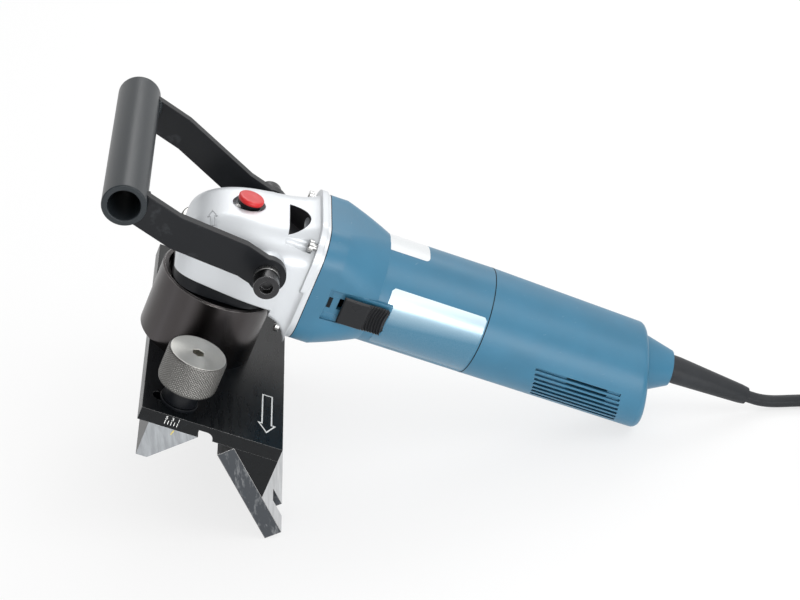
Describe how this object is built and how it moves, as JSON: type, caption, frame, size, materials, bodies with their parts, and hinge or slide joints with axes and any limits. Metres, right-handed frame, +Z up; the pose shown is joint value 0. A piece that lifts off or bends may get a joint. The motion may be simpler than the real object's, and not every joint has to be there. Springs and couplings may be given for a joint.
{
  "type": "plate edge beveller",
  "caption": "Corded angle-grinder drive on a clamped collar, with a V of two plate guides under a bevelling cutter, and a bow handle.",
  "frame": {"origin": "bottom centre of the tool as it stands on a bench on its guide bar and rear cover, without the free cord", "axes": "+X from the handle tube towards the cord, +Y along the guides away from the switch, +Z up"},
  "size_m": [0.5475, 0.242, 0.2399],
  "materials": {
    "cast_aluminium": "satin",
    "blue_plastic": "satin",
    "black_steel": "satin",
    "burnished_steel": "satin",
    "guide_steel": "satin",
    "bright_steel": "satin",
    "black_aluminium": "satin",
    "red_plastic": "satin",
    "black_plastic": "satin",
    "black_rubber": "matte",
    "carbide": "satin",
    "copper": "satin",
    "brass": "satin",
    "carbon": "matte",
    "core_steel": "satin"
  },
  "bodies": {
    "housing": {"gear_head": "cast_aluminium", "bearing_flange": "black_steel", "bearing_flange_screws": "black_steel", "flange_screws": "bright_steel", "motor_housing": "blue_plastic", "rear_cover": "blue_plastic", "clamp_collar": "burnished_steel", "collar_screws": "black_steel", "base_plate": "black_aluminium", "plate_screws": "black_steel", "fixed_guide_block": "black_aluminium", "block_screws": "black_steel", "guide_bar": "guide_steel", "bar_screws": "black_steel", "handle_bushes": "bright_steel", "handle_screws": "black_steel", "main_bearing": "bright_steel", "needle_bearing": "bright_steel", "front_bearing": "bright_steel", "rear_bearing": "bright_steel", "field_core": "core_steel", "field_coils": "copper", "air_baffle": "black_plastic", "bearing_retainer": "core_steel", "carbon_brushes": "carbon", "brush_holders": "brass", "switch_module": "black_plastic", "switch_saddles": "blue_plastic", "lock_spring": "bright_steel", "strain_relief": "black_rubber", "cord_lead": "black_rubber", "cord_coil": "black_rubber", "cord_tail": "black_rubber", "plug": "black_rubber"},
    "armature": {"armature_shaft": "core_steel", "armature_core": "core_steel", "armature_windings": "copper", "commutator": "copper", "cooling_fan": "black_plastic", "pinion": "core_steel"},
    "spindle": {"spindle": "core_steel", "crown_gear": "core_steel", "cutter_head": "core_steel", "cutter_inserts": "carbide", "insert_screws": "black_steel"},
    "lock": {"lock_button": "red_plastic"},
    "switch": {"switch_slider": "black_plastic", "switch_rod": "black_plastic"},
    "guide_slide": {"sliding_guide_block": "black_aluminium", "clamp_washers": "bright_steel", "clamp_studs": "bright_steel"},
    "knob_near": {"clamp_knob_near": "bright_steel"},
    "knob_far": {"clamp_knob_far": "bright_steel"},
    "handle": {"handle_tube": "black_steel", "handle_arm_near": "black_steel", "handle_arm_far": "black_steel"}
  },
  "joints": [
    {"name": "armature_spin", "type": "hinge", "parent": "housing", "child": "armature", "pos_m": [-0.01238, 0, 0.11253], "axis": [0.8991, 0, -0.4378], "continuous": true},
    {"name": "spindle_spin", "type": "hinge", "parent": "housing", "child": "spindle", "pos_m": [-0.1198, 0, 0.12035], "axis": [0.4378, 0, 0.8991], "continuous": true},
    {"name": "lock_button_press", "type": "slide", "parent": "housing", "child": "lock", "axis": [-0.4378, 0, -0.8991], "range_m": [0, 0.003], "stiffness_N_per_m": 700, "springref_m": -0.003},
    {"name": "switch_slide", "type": "slide", "parent": "housing", "child": "switch", "axis": [-0.8991, 0, 0.4378], "range_m": [0, 0.008]},
    {"name": "guide_slide", "type": "slide", "parent": "housing", "child": "guide_slide", "axis": [-0.8991, 0, 0.4378], "range_m": [0, 0.008]},
    {"name": "knob_near_turn", "type": "hinge", "parent": "guide_slide", "child": "knob_near", "pos_m": [-0.1353, -0.083, 0.10565], "axis": [0.4378, 0, 0.8991], "range_deg": [0, 360]},
    {"name": "knob_far_turn", "type": "hinge", "parent": "guide_slide", "child": "knob_far", "pos_m": [-0.1353, 0.083, 0.10565], "axis": [0.4378, 0, 0.8991], "range_deg": [0, 360]},
    {"name": "handle_tilt", "type": "hinge", "parent": "housing", "child": "handle", "pos_m": [-0.08117, 0, 0.15626], "axis": [0, 1, 0], "range_deg": [-15, 90]}
  ],
  "couplings": [
    {"joint": "spindle_spin", "follows": "armature_spin", "ratio": 0.3}
  ]
}
